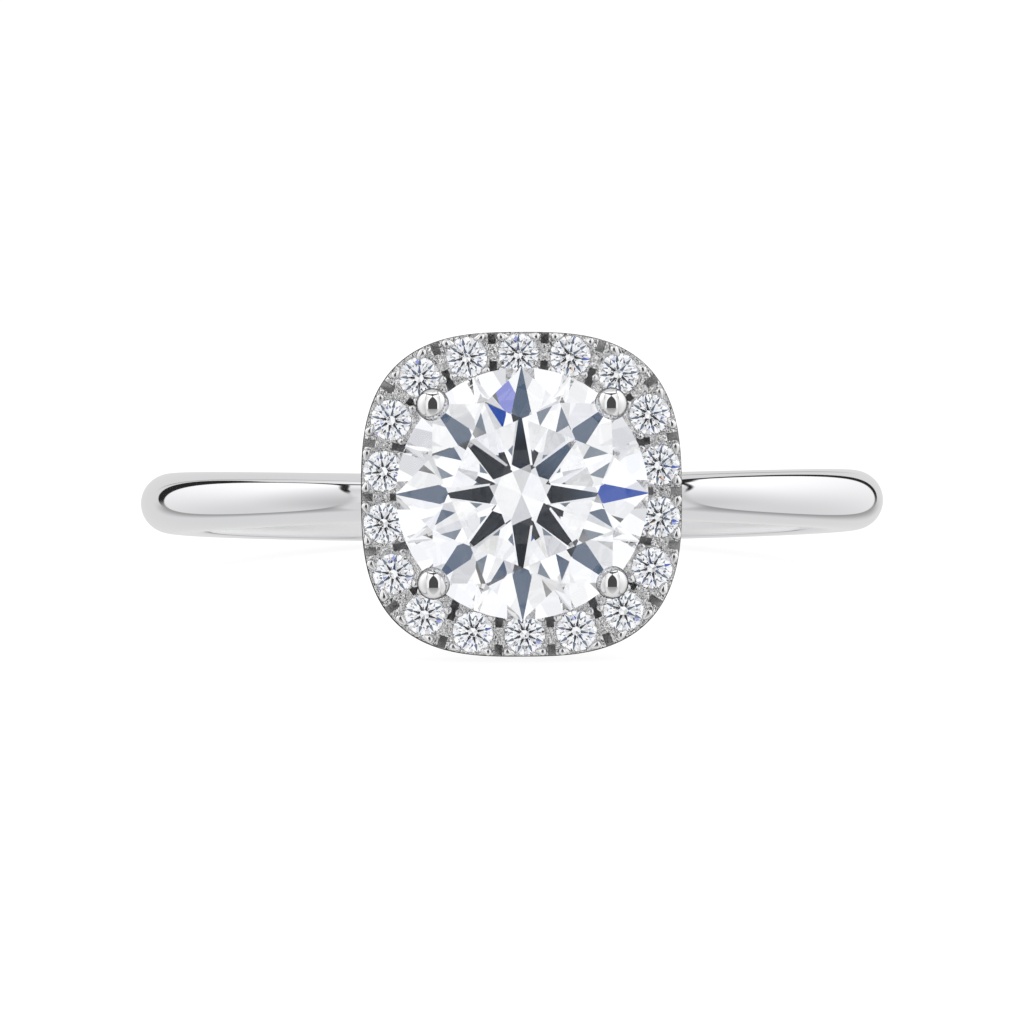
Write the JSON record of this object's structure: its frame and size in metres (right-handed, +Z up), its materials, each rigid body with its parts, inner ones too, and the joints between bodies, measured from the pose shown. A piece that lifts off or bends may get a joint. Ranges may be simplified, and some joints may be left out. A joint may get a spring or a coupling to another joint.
{
  "type": "halo ring",
  "caption": "Halo ring with a round brilliant in a four-claw basket, a cushion halo of small brilliants and a plain domed shank.",
  "frame": {"origin": "middle of the ring's footprint, on the surface that it lies on", "axes": "+Z up from the surface; the head of the ring faces -Y and 8.7 degrees up; +X to the right as seen from the head"},
  "size_m": [0.0204, 0.0246, 0.0085],
  "materials": {
    "white_gold": "polished",
    "brilliant": "polished"
  },
  "bodies": {
    "root": {"mounting": "white_gold", "centre_stone": "brilliant", "halo_stone_01": "brilliant", "halo_stone_02": "brilliant", "halo_stone_03": "brilliant", "halo_stone_04": "brilliant", "halo_stone_05": "brilliant", "halo_stone_06": "brilliant", "halo_stone_07": "brilliant", "halo_stone_08": "brilliant", "halo_stone_09": "brilliant", "halo_stone_10": "brilliant", "halo_stone_11": "brilliant", "halo_stone_12": "brilliant", "halo_stone_13": "brilliant", "halo_stone_14": "brilliant", "halo_stone_15": "brilliant", "halo_stone_16": "brilliant", "halo_stone_17": "brilliant", "halo_stone_18": "brilliant"}
  },
  "joints": []
}
